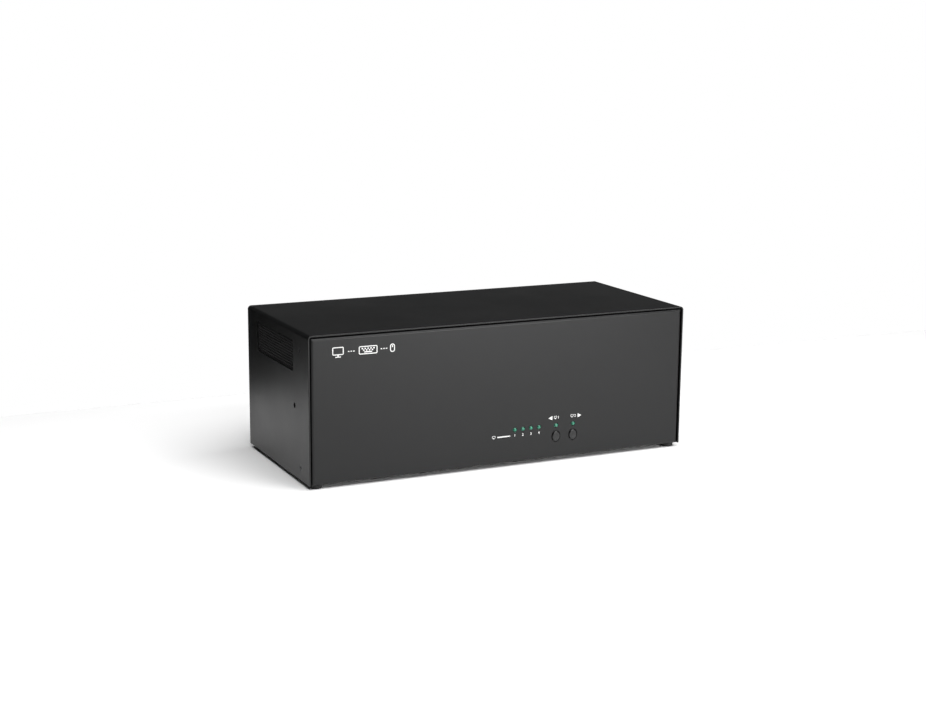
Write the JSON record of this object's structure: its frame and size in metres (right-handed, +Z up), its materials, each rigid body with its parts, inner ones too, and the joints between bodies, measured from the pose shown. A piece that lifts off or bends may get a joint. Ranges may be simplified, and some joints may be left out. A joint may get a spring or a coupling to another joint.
{
  "type": "kvm switch",
  "caption": "Desktop KVM switch in a long black sheet-metal case with vented sides, front lamps and two push buttons, and rows of video sockets at the rear.",
  "frame": {"origin": "middle of the box's footprint, on the plane the feet stand on", "axes": "+X to the right of a person at the front, +Y from the front panel to the rear sockets, +Z up"},
  "size_m": [0.346, 0.1562, 0.1255],
  "materials": {
    "case_paint": "fine-textured satin black powder coat",
    "rear_paint": "fine-textured satin black powder coat",
    "zinc_sheet": "zinc-plated steel sheet",
    "mesh_paint": "matt black painted perforated steel",
    "black_fastener": "black oxide",
    "zinc_fastener": "zinc plated",
    "nickel_post": "nickel plated",
    "foot_rubber": "matt moulded rubber",
    "lamp_lens": "translucent green epoxy",
    "button_plastic": "satin moulded plastic",
    "switch_plastic": "moulded plastic",
    "plunger_plastic": "moulded plastic",
    "spacer_nylon": "natural nylon",
    "board": "solder-masked glass laminate",
    "chip": "moulded epoxy",
    "connector_plastic": "moulded plastic",
    "capacitor_can": "sleeved aluminium cans",
    "heatsink": "black anodised",
    "transformer": "ferrite core with taped winding",
    "socket_shell": "nickel-plated steel",
    "socket_insert": "moulded thermoplastic",
    "usb_insert": "moulded thermoplastic",
    "contact": "nickel-plated brass",
    "ribbon": "grey flat cable",
    "mains_wire": "insulated wire",
    "dc_wire": "insulated wire"
  },
  "bodies": {
    "case": {"top_cover": "case_paint", "front_panel": "case_paint", "rear_panel": "rear_paint", "chassis_base": "zinc_sheet", "vent_grille_left": "mesh_paint", "vent_grille_right": "mesh_paint", "countersunk_screws": "black_fastener", "rear_panel_screws": "black_fastener", "clinch_nuts": "zinc_fastener", "side_mount_nut": "zinc_fastener", "foot_screws": "zinc_fastener", "board_screws": "zinc_fastener", "ground_stud": "zinc_fastener", "power_inlet_screws": "zinc_fastener", "standoffs": "nickel_post", "video_jackscrews": "nickel_post", "foot_front_left": "foot_rubber", "foot_front_right": "foot_rubber", "foot_rear_left": "foot_rubber", "foot_rear_right": "foot_rubber", "lamp_computer_1": "lamp_lens", "lamp_computer_2": "lamp_lens", "lamp_computer_3": "lamp_lens", "lamp_computer_4": "lamp_lens", "lamp_previous": "lamp_lens", "lamp_next": "lamp_lens", "tact_switch_previous": "switch_plastic", "tact_switch_next": "switch_plastic", "button_guide": "switch_plastic", "power_switch_body": "switch_plastic", "power_inlet": "switch_plastic", "lamp_spacers": "spacer_nylon", "indicator_board": "board", "control_board": "board", "video_board_1": "board", "video_board_2": "board", "video_board_3": "board", "video_board_4": "board", "supply_board": "board", "chips": "chip", "stack_connectors": "connector_plastic", "wire_headers": "connector_plastic", "capacitors": "capacitor_can", "video_heatsinks": "heatsink", "supply_heatsinks": "heatsink", "supply_transformer": "transformer", "video_socket_shells": "socket_shell", "usb_shells": "socket_shell", "video_socket_inserts": "socket_insert", "usb_inserts": "usb_insert", "power_inlet_pins": "contact", "ribbon_cable": "ribbon", "mains_wires": "mains_wire", "low_voltage_wires": "dc_wire"},
    "previous_button": {"button_previous": "button_plastic", "tact_plunger_previous": "plunger_plastic"},
    "next_button": {"button_next": "button_plastic", "tact_plunger_next": "plunger_plastic"},
    "power_rocker": {"power_rocker": "switch_plastic"}
  },
  "joints": [
    {"name": "button_previous_press", "type": "slide", "parent": "case", "child": "previous_button", "axis": [0, 1, 0], "range_m": [0, 0.0005], "stiffness_N_per_m": 300},
    {"name": "button_next_press", "type": "slide", "parent": "case", "child": "next_button", "axis": [0, 1, 0], "range_m": [0, 0.0005], "stiffness_N_per_m": 300},
    {"name": "power_rocker_tilt", "type": "hinge", "parent": "case", "child": "power_rocker", "pos_m": [-0.132, 0.0716, 0.0615], "axis": [1, 0, 0], "range_deg": [0, 20]}
  ]
}
